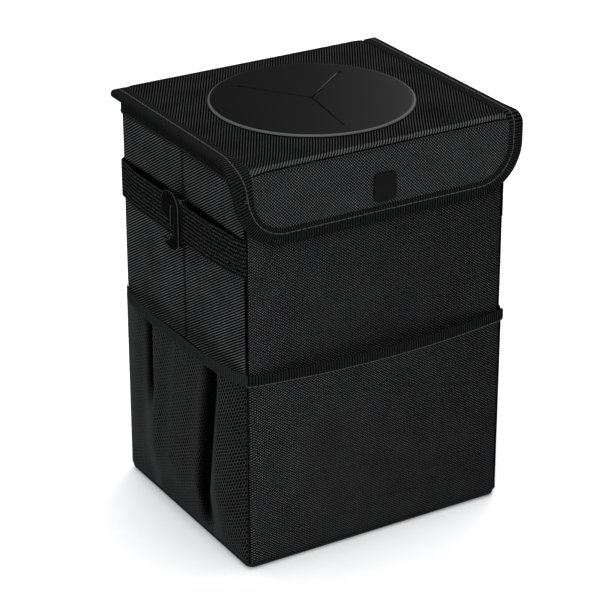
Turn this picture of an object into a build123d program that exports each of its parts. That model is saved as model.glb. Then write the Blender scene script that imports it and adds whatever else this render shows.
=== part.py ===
from build123d import *

import os
from math import cos, radians, sin, tan

# A soft-sided car trash bin: boards in fabric walls, a hinged lid with a front flap, a slit rubber valve.
# Millimetres, +Z up. The origin is the middle of the base, on the floor, and the front faces -Y.

# Body, over the outer fabric
body_width = 168.0
body_depth = 142.0
lid_top = 240.0
corner_radius = 5.0
side_fold_depth = 1.5
base_edge_bevel = 2.5
base_seam_height = 4.5

# Layers, from the outside in
fabric = 0.8
wall_board = 2.0
base_stiffener = 2.5
lid_stiffener = 2.0
flap_stiffener = 1.2
lining = 0.6
liner_wall = 0.5
tape = 0.7
layer_gap = 0.2
fold_gap = 0.8

# Lid and front flap
lid_overhang = 4.0
lid_clearance = 0.4
lid_binding_width = 9.0
flap_drop = 42.0
flap_corner = 28.0
flap_fold_gap = 0.3
closure_patch = 0.8
closure_gap = 0.2
closure_width = 60.0
closure_height = 16.0
tab_width = 14.0
tab_height = 16.0
tab_thickness = 1.0
tab_corner = 2.8

# Lid hinge: a sewn strip whose top edge is rolled over on the axis
hinge_roll_radius = 0.6
hinge_strip_drop = 18.0
hinge_strip_margin = 5.6
hinge_gap = 0.3
rim_leg = 8.0

# Rubber valve
valve_radius = 58.0
valve_neck_radius = 51.7
valve_neck_wall = 2.0
valve_neck_gap = 0.3
valve_skin = 1.8
valve_edge_bevel = 1.2
slit_angles = (38.0, 125.0, 261.0)
slit_reach = 45.0
slit_width = 0.8
slit_end_radius = 0.9
leaf_gap = 0.1
leaf_bevel = 39.0
clamp_width = 6.0
clamp_thickness = 2.2

# Pockets
pocket_top = 121.0
pocket_hem = 7.0
front_pocket_bulge = 7.0
mesh_thickness = 0.8
mesh_bulge = 5.5
mesh_belly_height = 38.0
mesh_fold_depth = 1.8
hem_fold_depth = 0.9
mesh_shoulder = 12.0
mesh_fold_width = 8.0
mesh_fold_radius = 6.0
mesh_front_fold = 36.0
mesh_rear_fold = 31.0
elastic_thickness = 1.5

# Strap and its hooks
strap_width = 22.0
strap_thickness = 1.4
strap_height = 188.0
strap_standoff = 2.2
strap_sewn_length = 12.0
strap_jog_length = 14.0
strap_jog_radius = 10.0
hook_place = 1.0
hook_length = 19.0
hook_plate = 2.2
hook_keeper = 1.2
hook_bridge = 2.2
hook_gap = 0.4
hook_bar = 5.4
hook_slot = 3.2
hook_slot_length = 17.6
hook_gate = 1.9
hook_gate_length = 7.6
hook_gate_drop = 5.5
hook_gate_turn = -20.0
hook_shoulder = 5.0
hook_crown = 3.0
hook_waist = 13.5
hook_tail = 17.5
hook_heel = 4.0

# Places worked out from the sizes above
half_width = body_width / 2
half_depth = body_depth / 2
lid_bottom = lid_top - fabric - lid_stiffener - lining
rim_top = lid_bottom - tape - lid_clearance
wall_top = rim_top - tape
board_height = wall_top - base_seam_height
liner_bottom = fabric + base_stiffener
liner_inset = fabric + wall_board + layer_gap
mouth_inset = liner_inset + liner_wall
flap_inner = half_depth + 2 * closure_patch + closure_gap
flap_stack = lining + flap_stiffener + fabric
lid_front = -(flap_inner + flap_stack)
lid_half_width = half_width + lid_overhang
flap_top = lid_bottom - tape - flap_fold_gap
flap_bottom = lid_top - flap_drop
hinge_y = half_depth + tape + fabric / 2
lid_rear = hinge_y - hinge_roll_radius - hinge_gap
hem_bottom = pocket_top - pocket_hem
mitre_reach = corner_radius + front_pocket_bulge + mesh_bulge

os.makedirs("parts", exist_ok=True)


def finish(builder, label):
    """Name a finished piece and write it to its own file."""
    builder.part.label = label
    export_step(builder.part, f"parts/{label}.step")


def wall_outline(inset):
    """Plan of the body with its wall moved in by inset: round corners, and sides creased at mid depth."""
    across = half_width - inset
    along = half_depth - inset
    crease = across - side_fold_depth
    with BuildSketch(mode=Mode.PRIVATE) as plan:
        with BuildLine():
            Polyline(
                (across, -along),
                (crease, 0),
                (across, along),
                (-across, along),
                (-crease, 0),
                (-across, -along),
                close=True,
            )
        make_face()
        corners = plan.vertices().filter_by(lambda v: abs(v.Y) > along / 2)
        fillet(corners, max(corner_radius - inset, tape))
    return plan.sketch


def mitre_wedge(front):
    """Plan region of the front wall, or of the left wall, out to the mitre lines through the corners."""
    x = half_width - corner_radius
    y = half_depth - corner_radius
    far_x = x + mitre_reach
    far_y = y + mitre_reach
    if front:
        ends = ((-x, -y), (-far_x, -far_y), (far_x, -far_y), (x, -y))
    else:
        ends = ((-x, y), (-far_x, far_y), (-far_x, -far_y), (-x, -y))
    with BuildSketch(mode=Mode.PRIVATE) as wedge:
        Polygon(*ends, align=None)
    return wedge.sketch


def wall_band(outer_inset, inner_inset):
    """Plan of a layer of the wall, between two insets."""
    with BuildSketch(mode=Mode.PRIVATE) as band:
        add(wall_outline(outer_inset))
        add(wall_outline(inner_inset), mode=Mode.SUBTRACT)
    return band.sketch


# Outer fabric: four wall panels mitred at the corners, and a base panel turned up at its edge

with BuildPart() as front_panel:
    with BuildSketch(Plane.XY.offset(base_seam_height)):
        add(wall_band(0, fabric))
        add(mitre_wedge(front=True), mode=Mode.INTERSECT)
    extrude(amount=board_height)
finish(front_panel, "front_panel")

with BuildPart() as back_panel:
    mirror(front_panel.part, about=Plane.XZ)
finish(back_panel, "back_panel")

with BuildPart() as left_panel:
    with BuildSketch(Plane.XY.offset(base_seam_height)):
        add(wall_band(0, fabric))
        add(mitre_wedge(front=False), mode=Mode.INTERSECT)
    extrude(amount=board_height)
finish(left_panel, "left_panel")

with BuildPart() as right_panel:
    mirror(left_panel.part, about=Plane.YZ)
finish(right_panel, "right_panel")


def base_outline(inset):
    """Plan of the base, moved in by inset."""
    with BuildSketch(mode=Mode.PRIVATE) as plan:
        RectangleRounded(body_width - 2 * inset, body_depth - 2 * inset, corner_radius - inset)
    return plan.sketch


with BuildPart() as base_panel:
    with BuildSketch():
        add(base_outline(0))
    extrude(amount=base_seam_height)
    chamfer(base_panel.faces().sort_by(Axis.Z)[0].edges(), base_edge_bevel)
    with BuildSketch(Plane.XY.offset(fabric)):
        add(base_outline(base_edge_bevel + fabric))
    with BuildSketch(Plane.XY.offset(base_edge_bevel + fabric)):
        add(base_outline(fabric))
    loft(ruled=True, mode=Mode.SUBTRACT)
    with BuildSketch(Plane.XY.offset(base_edge_bevel + fabric)):
        add(base_outline(fabric))
    extrude(amount=base_seam_height - base_edge_bevel - fabric, mode=Mode.SUBTRACT)
finish(base_panel, "base_panel")

# Stiffening boards: one in the front and the back, two in each side so that it can fold, one in the base

with BuildPart() as front_board:
    with BuildSketch(Plane.XY.offset(base_seam_height)):
        with Locations((0, -(half_depth - fabric - wall_board / 2))):
            Rectangle(body_width - 2 * corner_radius - 2 * layer_gap, wall_board)
    extrude(amount=board_height)
finish(front_board, "front_board")

with BuildPart() as back_board:
    mirror(front_board.part, about=Plane.XZ)
finish(back_board, "back_board")

side_board_length = half_depth - corner_radius - fold_gap / 2

with BuildPart() as left_front_board:
    with BuildSketch(Plane.XY.offset(base_seam_height)):
        add(wall_band(fabric, fabric + wall_board))
        with Locations((-half_width, -(fold_gap + side_board_length) / 2)):
            Rectangle(2 * mitre_reach, side_board_length, mode=Mode.INTERSECT)
    extrude(amount=board_height)
finish(left_front_board, "left_front_board")

with BuildPart() as left_rear_board:
    mirror(left_front_board.part, about=Plane.XZ)
finish(left_rear_board, "left_rear_board")

with BuildPart() as right_front_board:
    mirror(left_front_board.part, about=Plane.YZ)
finish(right_front_board, "right_front_board")

with BuildPart() as right_rear_board:
    mirror(left_rear_board.part, about=Plane.YZ)
finish(right_rear_board, "right_rear_board")

base_margin = base_edge_bevel + fabric + layer_gap

with BuildPart() as base_board:
    with BuildSketch(Plane.XY.offset(fabric)):
        RectangleRounded(body_width - 2 * base_margin, body_depth - 2 * base_margin, corner_radius)
    extrude(amount=base_stiffener)
finish(base_board, "base_board")

# Waterproof liner: one open bag that lines the walls and stands on the base board

with BuildPart() as liner:
    with BuildSketch(Plane.XY.offset(liner_bottom)):
        add(wall_outline(liner_inset))
    extrude(amount=wall_top - liner_bottom)
    with BuildSketch(Plane.XY.offset(liner_bottom + liner_wall)):
        add(wall_outline(mouth_inset))
    extrude(amount=wall_top - liner_bottom - liner_wall, mode=Mode.SUBTRACT)
finish(liner, "liner")

# Tape folded over the mouth, with a leg down each face of the wall

with BuildPart() as rim_binding:
    with BuildSketch(Plane.XY.offset(wall_top)):
        add(wall_band(-tape, mouth_inset + tape))
    extrude(amount=tape)
    with BuildSketch(Plane.XY.offset(wall_top)):
        add(wall_band(-tape, 0))
        add(wall_band(mouth_inset, mouth_inset + tape))
    extrude(amount=-rim_leg)
finish(rim_binding, "rim_binding")

# Front pocket: a slack sheet sewn round three sides, flat at its foot, swelling to a taped open top

pocket_half = half_width - corner_radius
pocket_seam = tape + layer_gap


def pocket_plan(out):
    """Plan of what lies between the front wall and the swollen sheet, out from the sheet's inner face."""
    seam = half_depth + pocket_seam + out
    with BuildSketch(mode=Mode.PRIVATE) as plan:
        with BuildLine():
            swell = ThreePointArc((-pocket_half, -seam), (0, -seam - front_pocket_bulge), (pocket_half, -seam))
            Polyline(swell @ 1, (pocket_half, -half_depth), (-pocket_half, -half_depth), swell @ 0)
        make_face()
    return plan.sketch


def pocket_bag(out):
    """What the sheet encloses: its swollen plan, under a slant from the foot seam to the hem."""
    foot = -half_depth - pocket_seam - out
    with BuildPart(mode=Mode.PRIVATE) as bag:
        with BuildSketch(Plane.XY.offset(base_seam_height)):
            add(pocket_plan(out))
        extrude(amount=pocket_top - tape - base_seam_height)
        with BuildSketch(Plane.YZ):
            Polygon(
                (-half_depth, base_seam_height),
                (foot, base_seam_height),
                (foot - front_pocket_bulge, hem_bottom),
                (foot - front_pocket_bulge, pocket_top),
                (-half_depth, pocket_top),
                align=None,
            )
        extrude(amount=half_width, both=True, mode=Mode.INTERSECT)
    return bag.part


def corner_wraps(inner, outer):
    """Plan of the sheet's two ends, from the front's flat face round to the corner mitres."""
    with BuildSketch(mode=Mode.PRIVATE) as wraps:
        add(wall_band(-pocket_seam - outer, -pocket_seam - inner))
        add(mitre_wedge(front=True), mode=Mode.INTERSECT)
        with Locations((0, -half_depth)):
            Rectangle(2 * pocket_half, 2 * mitre_reach, mode=Mode.SUBTRACT)
    return wraps.sketch


with BuildPart() as front_pocket:
    add(pocket_bag(fabric))
    add(pocket_bag(0), mode=Mode.SUBTRACT)
    with BuildSketch(Plane.XY.offset(base_seam_height)):
        add(corner_wraps(0, fabric))
    extrude(amount=pocket_top - tape - base_seam_height)
finish(front_pocket, "front_pocket")

with BuildPart() as front_pocket_binding:
    with BuildSketch(Plane.XY.offset(hem_bottom)):
        add(pocket_plan(fabric + tape))
        add(pocket_plan(-tape), mode=Mode.SUBTRACT)
    extrude(amount=pocket_hem)
    with BuildSketch(Plane.XY.offset(hem_bottom)):
        add(pocket_plan(fabric))
        add(pocket_plan(0), mode=Mode.SUBTRACT)
    extrude(amount=pocket_hem - tape, mode=Mode.SUBTRACT)
    with BuildSketch(Plane.XY.offset(hem_bottom)):
        add(corner_wraps(fabric, fabric + tape))
    extrude(amount=pocket_hem)
finish(front_pocket_binding, "front_pocket_binding")

# Mesh side pockets: gathered on an elastic hem, with two deep folds

mesh_half = half_depth - corner_radius
mesh_seam = half_width + layer_gap


def mesh_plan(fold_depth, out):
    """Plan of what lies between the left wall and the mesh: swollen between its seams, pleated at its folds."""
    folds = (-mesh_front_fold, mesh_rear_fold)
    crests = [fold + side * mesh_fold_width for fold in folds for side in (-1, 1)]
    shoulder = mesh_half - mesh_shoulder
    line = [(-mesh_seam - out, -mesh_half)]
    for y in sorted((-shoulder, *folds, *crests, shoulder)):
        swell = mesh_bulge * (1 - (y / mesh_half) ** 4)
        valley = fold_depth if y in folds else 0
        line.append((-mesh_seam - out - swell + valley, y))
    line.append((-mesh_seam - out, mesh_half))
    with BuildSketch(mode=Mode.PRIVATE) as plan:
        Polygon((-half_width, -mesh_half), *line, (-half_width, mesh_half), align=None)
        fillet(plan.vertices().filter_by(lambda v: abs(v.Y) < mesh_half - layer_gap), mesh_fold_radius)
    return plan.sketch


def mesh_bag(out):
    """What the mesh encloses: its pleated plan, drawn in to the wall below its belly."""
    foot = -mesh_seam - out
    with BuildPart(mode=Mode.PRIVATE) as bag:
        with BuildSketch(Plane.XY.offset(base_seam_height)):
            add(mesh_plan(mesh_fold_depth, out))
        extrude(amount=hem_bottom - base_seam_height)
        with BuildSketch(Plane.XZ):
            Polygon(
                (-half_width, base_seam_height),
                (foot, base_seam_height),
                (foot - mesh_bulge, mesh_belly_height),
                (foot - mesh_bulge, hem_bottom),
                (-half_width, hem_bottom),
                align=None,
            )
        extrude(amount=half_depth, both=True, mode=Mode.INTERSECT)
    return bag.part


with BuildPart() as left_mesh_pocket:
    add(mesh_bag(mesh_thickness))
    add(mesh_bag(0), mode=Mode.SUBTRACT)
finish(left_mesh_pocket, "left_mesh_pocket")

with BuildPart() as right_mesh_pocket:
    mirror(left_mesh_pocket.part, about=Plane.YZ)
finish(right_mesh_pocket, "right_mesh_pocket")

with BuildPart() as left_pocket_elastic:
    with BuildSketch(Plane.XY.offset(hem_bottom)):
        add(mesh_plan(hem_fold_depth, elastic_thickness))
        add(mesh_plan(hem_fold_depth, 0), mode=Mode.SUBTRACT)
    extrude(amount=pocket_hem)
finish(left_pocket_elastic, "left_pocket_elastic")

with BuildPart() as right_pocket_elastic:
    mirror(left_pocket_elastic.part, about=Plane.YZ)
finish(right_pocket_elastic, "right_pocket_elastic")

# Strap: one webbing belt, sewn down at the front of both sides and passing round the back

strap_side = half_width + strap_standoff + strap_thickness / 2
strap_end = half_width + strap_thickness / 2
strap_back = half_depth + strap_thickness / 2
strap_front = -(half_depth - corner_radius)
strap_sewn = strap_front + strap_sewn_length
strap_free = strap_sewn + strap_jog_length
strap_turn = corner_radius + strap_thickness / 2

with BuildPart() as strap:
    with BuildSketch(Plane.XY.offset(strap_height - strap_width / 2)):
        with BuildLine():
            FilletPolyline(
                (-strap_end, strap_front),
                (-strap_end, strap_sewn),
                (-strap_side, strap_free),
                (-strap_side, strap_back),
                (strap_side, strap_back),
                (strap_side, strap_free),
                (strap_end, strap_sewn),
                (strap_end, strap_front),
                radius=[strap_jog_radius] * 2 + [strap_turn] * 2 + [strap_jog_radius] * 2,
            )
        trace(line_width=strap_thickness)
    extrude(amount=strap_width)
finish(strap, "strap")

# Strap hooks: a moulded hook plate outside the webbing, with a keeper behind it, that slides along the strap

hook_face = half_width + strap_standoff + strap_thickness + hook_gap
hook_back = half_width + strap_standoff - hook_gap
bridge_inner = strap_width / 2 + hook_gap
bridge_outer = bridge_inner + hook_bridge
bar_front = hook_place - hook_length / 2
slot_middle = bar_front + hook_bar + hook_slot / 2
hook_top = strap_height + bridge_outer
hook_bottom = strap_height - bridge_outer

with BuildPart() as left_strap_hook:
    with BuildSketch(Plane.YZ.offset(-hook_face)):
        with BuildLine():
            bar_edge = Line((bar_front, hook_bottom), (bar_front, hook_top - hook_shoulder))
            crown = ThreePointArc(
                bar_edge @ 1,
                (hook_place, hook_top + hook_crown),
                (bar_front + hook_length, hook_top - hook_shoulder),
            )
            finger = TangentArc(crown @ 1, (bar_front + hook_waist, strap_height), tangent=crown % 1)
            tail = TangentArc(finger @ 1, (bar_front + hook_tail, hook_bottom), tangent=finger % 1)
            ThreePointArc(tail @ 1, (hook_place, hook_bottom - hook_heel), bar_edge @ 0)
        make_face()
        with Locations((slot_middle, strap_height)):
            SlotOverall(hook_slot_length, hook_slot, rotation=90, mode=Mode.SUBTRACT)
        with Locations((slot_middle + hook_gate_length / 2, strap_height - hook_gate_drop)):
            Rectangle(hook_gate_length, hook_gate, rotation=hook_gate_turn, mode=Mode.SUBTRACT)
    extrude(amount=-hook_plate)
    with BuildSketch(Plane.YZ.offset(-hook_back)):
        with Locations((bar_front + hook_bar / 2, strap_height)):
            Rectangle(hook_bar, 2 * bridge_outer)
    extrude(amount=hook_keeper)
    with BuildSketch(Plane.YZ.offset(-hook_face)):
        with Locations((bar_front + hook_bar / 2, strap_height)):
            with GridLocations(0, bridge_inner + bridge_outer, 1, 2):
                Rectangle(hook_bar, hook_bridge)
    extrude(amount=hook_face - hook_back)
finish(left_strap_hook, "left_strap_hook")

with BuildPart() as right_strap_hook:
    mirror(left_strap_hook.part, about=Plane.YZ)
finish(right_strap_hook, "right_strap_hook")

# Hinge strip: sewn to the back below the rim, with its top edge rolled over on the lid's axis

with BuildPart() as lid_hinge_strip:
    with BuildSketch(Plane.YZ.offset(-(half_width - hinge_strip_margin))):
        with Locations((hinge_y, lid_top - hinge_strip_drop / 2)):
            Rectangle(fabric, hinge_strip_drop)
        with Locations((hinge_y, lid_top)):
            Circle(hinge_roll_radius)
    extrude(amount=2 * (half_width - hinge_strip_margin))
finish(lid_hinge_strip, "lid_hinge_strip")

# Lid: lining, board and top fabric, all with the valve's hole

valve_hole = valve_neck_radius + valve_neck_gap


def lid_plan(front_margin, side_margin):
    """Plan of a lid layer, from the front fold to the hinge, with the valve's hole."""
    with BuildSketch(mode=Mode.PRIVATE) as plan:
        with Locations((0, (lid_rear + lid_front + front_margin) / 2)):
            Rectangle(2 * (lid_half_width - side_margin), lid_rear - lid_front - front_margin)
        Circle(valve_hole, mode=Mode.SUBTRACT)
    return plan.sketch


with BuildPart() as lid_lining:
    with BuildSketch(Plane.XY.offset(lid_bottom)):
        add(lid_plan(0, 0))
    extrude(amount=lining)
finish(lid_lining, "lid_lining")

with BuildPart() as lid_board:
    with BuildSketch(Plane.XY.offset(lid_bottom + lining)):
        add(lid_plan(fabric, fabric))
    extrude(amount=lid_stiffener)
finish(lid_board, "lid_board")

with BuildPart() as lid_panel:
    with BuildSketch(Plane.XY.offset(lid_bottom + lining)):
        add(lid_plan(0, 0))
    extrude(amount=lid_stiffener + fabric)
    with BuildSketch(Plane.XY.offset(lid_bottom + lining)):
        add(lid_plan(fabric, fabric))
    extrude(amount=lid_stiffener, mode=Mode.SUBTRACT)
    fold = lid_panel.edges().filter_by(Axis.X).group_by(Axis.Z)[-1].sort_by(Axis.Y)[0]
    fillet(fold, lid_stiffener)
finish(lid_panel, "lid_panel")

with BuildPart() as lid_left_binding:
    with BuildSketch(Plane.XZ.offset(-lid_rear)):
        with Locations((-lid_half_width - tape, lid_bottom - tape)):
            Rectangle(
                lid_binding_width + tape,
                lid_top - lid_bottom + 2 * tape,
                align=(Align.MIN, Align.MIN),
            )
        with Locations((-lid_half_width, lid_bottom)):
            Rectangle(
                lid_binding_width,
                lid_top - lid_bottom,
                align=(Align.MIN, Align.MIN),
                mode=Mode.SUBTRACT,
            )
    extrude(amount=lid_rear - lid_front)
finish(lid_left_binding, "lid_left_binding")

with BuildPart() as lid_right_binding:
    mirror(lid_left_binding.part, about=Plane.YZ)
finish(lid_right_binding, "lid_right_binding")

# Front flap: lining, board and fabric hung from the lid's front fold, edged with tape


def flap_outline(grow):
    """Front view of the flap, grown at its sides and bottom: straight at the top, round lower corners."""
    with BuildSketch(mode=Mode.PRIVATE) as outline:
        with Locations((0, flap_top)):
            Rectangle(
                2 * (lid_half_width + grow),
                flap_top - flap_bottom + grow,
                align=(Align.CENTER, Align.MAX),
            )
        fillet(outline.vertices().group_by(Axis.Y)[0], flap_corner + grow)
    return outline.sketch


with BuildPart() as flap_lining:
    with BuildSketch(Plane.XZ.offset(flap_inner)):
        add(flap_outline(0))
    extrude(amount=lining)
finish(flap_lining, "flap_lining")

with BuildPart() as flap_board:
    with BuildSketch(Plane.XZ.offset(flap_inner + lining)):
        add(flap_outline(0))
    extrude(amount=flap_stiffener)
finish(flap_board, "flap_board")

with BuildPart() as flap_panel:
    with BuildSketch(Plane.XZ.offset(flap_inner + lining + flap_stiffener)):
        add(flap_outline(0))
    extrude(amount=fabric)
finish(flap_panel, "flap_panel")

with BuildPart() as flap_binding:
    with BuildSketch(Plane.XZ.offset(flap_inner - tape)):
        add(flap_outline(tape))
        add(flap_outline(-lid_binding_width), mode=Mode.SUBTRACT)
    extrude(amount=flap_stack + 2 * tape)
    with BuildSketch(Plane.XZ.offset(flap_inner)):
        add(flap_outline(0))
    extrude(amount=flap_stack, mode=Mode.SUBTRACT)
finish(flap_binding, "flap_binding")

# Hook and loop patches that hold the flap shut, and a plain tab on its face

closure_middle = (flap_top + flap_bottom) / 2 - tape

with BuildPart() as loop_patch:
    with BuildSketch(Plane.XZ.offset(half_depth)):
        with Locations((0, closure_middle)):
            Rectangle(closure_width, closure_height)
    extrude(amount=closure_patch)
finish(loop_patch, "loop_patch")

with BuildPart() as hook_patch:
    with BuildSketch(Plane.XZ.offset(half_depth + closure_patch + closure_gap)):
        with Locations((0, closure_middle)):
            Rectangle(closure_width, closure_height)
    extrude(amount=closure_patch)
finish(hook_patch, "hook_patch")

tab_bottom = flap_bottom + lid_binding_width + layer_gap

with BuildPart() as flap_tab:
    with BuildSketch(Plane.XZ.offset(-lid_front)) as tab_outline:
        with Locations((0, tab_bottom)):
            Rectangle(tab_width, tab_height, align=(Align.CENTER, Align.MIN))
        fillet(tab_outline.vertices(), tab_corner)
    extrude(amount=tab_thickness)
finish(flap_tab, "flap_tab")

# Rubber valve: a bevelled disc on the lid whose neck passes through the hole and is clamped from below

clamp_bottom = lid_bottom - clamp_thickness
neck_bottom = clamp_bottom - valve_neck_wall
skin_top = lid_top + valve_skin
slit_ends = [(slit_reach * cos(radians(a)), slit_reach * sin(radians(a))) for a in slit_angles]
leaf_spans = list(zip(slit_angles, (*slit_angles[1:], slit_angles[0] + 360)))


def leaf_frame(span):
    """Direction from the middle of the valve to a leaf's root, and half of the angle between its slits."""
    return radians(sum(span) / 2), radians((span[1] - span[0]) / 2)


def slit_end_holes():
    """The round ends of the three slits, through the skin."""
    with BuildPart(mode=Mode.PRIVATE) as holes:
        with BuildSketch(Plane.XY.offset(lid_top)):
            with Locations(*slit_ends):
                Circle(slit_end_radius)
        extrude(amount=valve_skin)
    return holes.part


def hinge_groove(span):
    """Groove under a leaf's root, left thin at the top so that the leaf folds down along it."""
    turn, half_angle = leaf_frame(span)
    root = slit_reach * cos(half_angle)
    side = valve_skin * tan(radians(leaf_bevel))
    across = Plane(
        (root * cos(turn), root * sin(turn), skin_top),
        x_dir=(cos(turn), sin(turn), 0),
        z_dir=(-sin(turn), cos(turn), 0),
    )
    with BuildPart(mode=Mode.PRIVATE) as groove:
        with BuildSketch(across):
            Polygon((0, 0), (side, valve_skin), (-leaf_gap - side, valve_skin), (-leaf_gap, 0), align=None)
        extrude(amount=slit_reach * sin(half_angle), both=True)
    return groove.part


with BuildPart() as valve_ring:
    with BuildSketch(Plane.XZ) as half_section:
        with BuildLine():
            Polyline(
                (0, skin_top),
                (valve_radius, skin_top),
                (valve_radius, lid_top),
                (valve_neck_radius, lid_top),
                (valve_neck_radius, neck_bottom),
                (valve_neck_radius - valve_neck_wall, neck_bottom),
                (valve_neck_radius - valve_neck_wall, lid_top),
                (0, lid_top),
                close=True,
            )
        make_face()
        chamfer(half_section.vertices().group_by(Axis.Y)[-1].sort_by(Axis.X)[-1], valve_edge_bevel)
    revolve(axis=Axis.Z)
    with BuildSketch(Plane.XY.offset(lid_top)):
        Polygon(*slit_ends, align=None)
    extrude(amount=valve_skin, mode=Mode.SUBTRACT)
    add(slit_end_holes(), mode=Mode.SUBTRACT)
    for leaf_span in leaf_spans:
        add(hinge_groove(leaf_span), mode=Mode.SUBTRACT)
finish(valve_ring, "valve_ring")

for number, leaf_span in enumerate(leaf_spans):
    leaf_turn, leaf_half_angle = leaf_frame(leaf_span)
    leaf_root = slit_reach * cos(leaf_half_angle)
    leaf_tip = slit_width / 2 / sin(leaf_half_angle)
    leaf_side = (leaf_root - leaf_tip) * tan(leaf_half_angle)
    with BuildPart() as valve_leaf:
        with BuildSketch(Plane((0, 0, lid_top), x_dir=(cos(leaf_turn), sin(leaf_turn), 0))):
            Polygon((leaf_tip, 0), (leaf_root, leaf_side), (leaf_root, -leaf_side), align=None)
        extrude(amount=valve_skin)
        add(slit_end_holes(), mode=Mode.SUBTRACT)
        add(hinge_groove(leaf_span), mode=Mode.SUBTRACT)
    finish(valve_leaf, f"valve_leaf_{number + 1}")

with BuildPart() as valve_clamp:
    with BuildSketch(Plane.XY.offset(clamp_bottom)):
        Circle(valve_hole + clamp_width)
        Circle(valve_hole, mode=Mode.SUBTRACT)
    extrude(amount=clamp_thickness)
finish(valve_clamp, "valve_clamp")
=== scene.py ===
from math import asin, cos, pi, radians, sin, sqrt

import bpy
import numpy as np
from mathutils import Matrix, Vector


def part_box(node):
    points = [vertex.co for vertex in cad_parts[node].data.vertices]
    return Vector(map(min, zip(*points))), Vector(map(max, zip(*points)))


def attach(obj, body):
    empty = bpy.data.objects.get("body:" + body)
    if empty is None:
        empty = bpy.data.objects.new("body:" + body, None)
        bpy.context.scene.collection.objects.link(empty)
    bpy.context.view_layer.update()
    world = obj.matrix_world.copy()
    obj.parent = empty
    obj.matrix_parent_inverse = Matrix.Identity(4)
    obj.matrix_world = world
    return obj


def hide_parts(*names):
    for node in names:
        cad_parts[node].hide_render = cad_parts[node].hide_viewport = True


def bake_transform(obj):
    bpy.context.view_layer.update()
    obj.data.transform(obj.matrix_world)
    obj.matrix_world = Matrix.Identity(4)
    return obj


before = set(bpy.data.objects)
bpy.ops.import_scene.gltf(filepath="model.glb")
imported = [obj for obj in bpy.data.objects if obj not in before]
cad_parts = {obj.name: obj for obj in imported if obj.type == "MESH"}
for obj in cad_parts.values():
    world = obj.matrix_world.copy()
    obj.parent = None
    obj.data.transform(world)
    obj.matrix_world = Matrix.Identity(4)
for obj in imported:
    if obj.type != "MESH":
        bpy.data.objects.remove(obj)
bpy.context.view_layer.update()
MM = 0.001
UP, DOWN, BACK = np.array([0, 0, 1.0]), np.array([0, 0, -1.0]), np.array([0, 1.0, 0])

# Sizes in millimetres, read off the CAD nodes


def corner(node, side, axis):
    """One coordinate of a CAD node's low corner, side 0, or its high one, side 1."""
    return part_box(node)[side][axis] / MM


HALF_WIDTH, HALF_DEPTH, SEAM_Z = (corner("base_panel", 1, axis) for axis in range(3))
WALL_TOP = corner("front_panel", 1, 2)
RIM_FOOT = corner("rim_binding", 0, 2)
LID_FRONT, LID_REAR = (corner("lid_panel", side, 1) for side in (0, 1))
LID_HALF, LID_TOP = (corner("lid_panel", 1, axis) for axis in (0, 2))
LID_BOTTOM = corner("lid_lining", 0, 2)
FLAP_BOTTOM = corner("flap_panel", 0, 2)
FLAP_INNER = -corner("flap_lining", 1, 1)
TAPE = corner("lid_right_binding", 1, 0) - LID_HALF
TAPE_LEG = LID_HALF - corner("lid_right_binding", 0, 0)
VALVE_R = corner("valve_ring", 1, 0)
NECK_FOOT = corner("valve_ring", 0, 2)
SKIN_TOP = corner("valve_leaf_1", 1, 2)
HEM_FOOT, POCKET_TOP = (corner("front_pocket_binding", side, 2) for side in (0, 1))
STRAP_OUT, STRAP_BACK, STRAP_TOP = (corner("strap", 1, axis) for axis in range(3))
STRAP_HALF = (STRAP_TOP - corner("strap", 0, 2)) / 2

# Sizes that the nodes' boxes don't tell

CORNER = 5.0
SIDE_FOLD = 1.5
FABRIC = 0.8
WALL_STACK = 3.5
TAPE_BEND = 2.2
FLAP_CORNER = 28.0
LID_HOLE = 54.5
NECK_R, NECK_WALL = 51.7, 2.0
SLIT_ANGLES = (38.0, 125.0, 261.0)
SLIT_REACH, SLIT_HALF, SLIT_END = 45.0, 0.4, 0.9
POCKET_BULGE, POCKET_SEAM = 7.0, 0.9
MESH_SEAM = HALF_WIDTH + 0.2
MESH_HALF = HALF_DEPTH - CORNER
MESH_REACH = MESH_HALF + 3.7
MESH_BULGE, MESH_BELLY = 5.5, 38.0
MESH_FOLDS = ((-41.0, 4.9), (30.5, 4.4))
FOLD_LEAN, LEAN_TOP, LEAN_RUN = 13.0, 105.0, 95.0
STRAP_THICK = 1.4


def smooth(t):
    """Smooth step from 0 to 1."""
    t = np.clip(t, 0, 1)
    return t * t * (3 - 2 * t)


def ripple(a, b, seed):
    """Slow, uneven waves between 0 and 1 over a surface."""
    value = np.sin(a * 0.041 + b * 0.023 + seed) + np.sin(a * 0.017 - b * 0.052 + 2.1 * seed)
    value = value + 0.5 * np.sin(a * 0.093 + 1.7 * seed) * np.sin(b * 0.081 + 0.6 * seed)
    return 0.5 + value / 5


def run_along(points):
    """Distance along a line at each of its points."""
    return np.concatenate([[0], np.cumsum(np.linalg.norm(np.diff(points, axis=0), axis=1))])


def arc(centre, radius, start, sweep, steps):
    """Points along an arc, and their outward directions; angles are in degrees."""
    turns = [radians(start + sweep * k / steps) for k in range(steps + 1)]
    ways = [(cos(turn), sin(turn)) for turn in turns]
    return [(centre[0] + radius * x, centre[1] + radius * y) for x, y in ways], ways


# Materials


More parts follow.
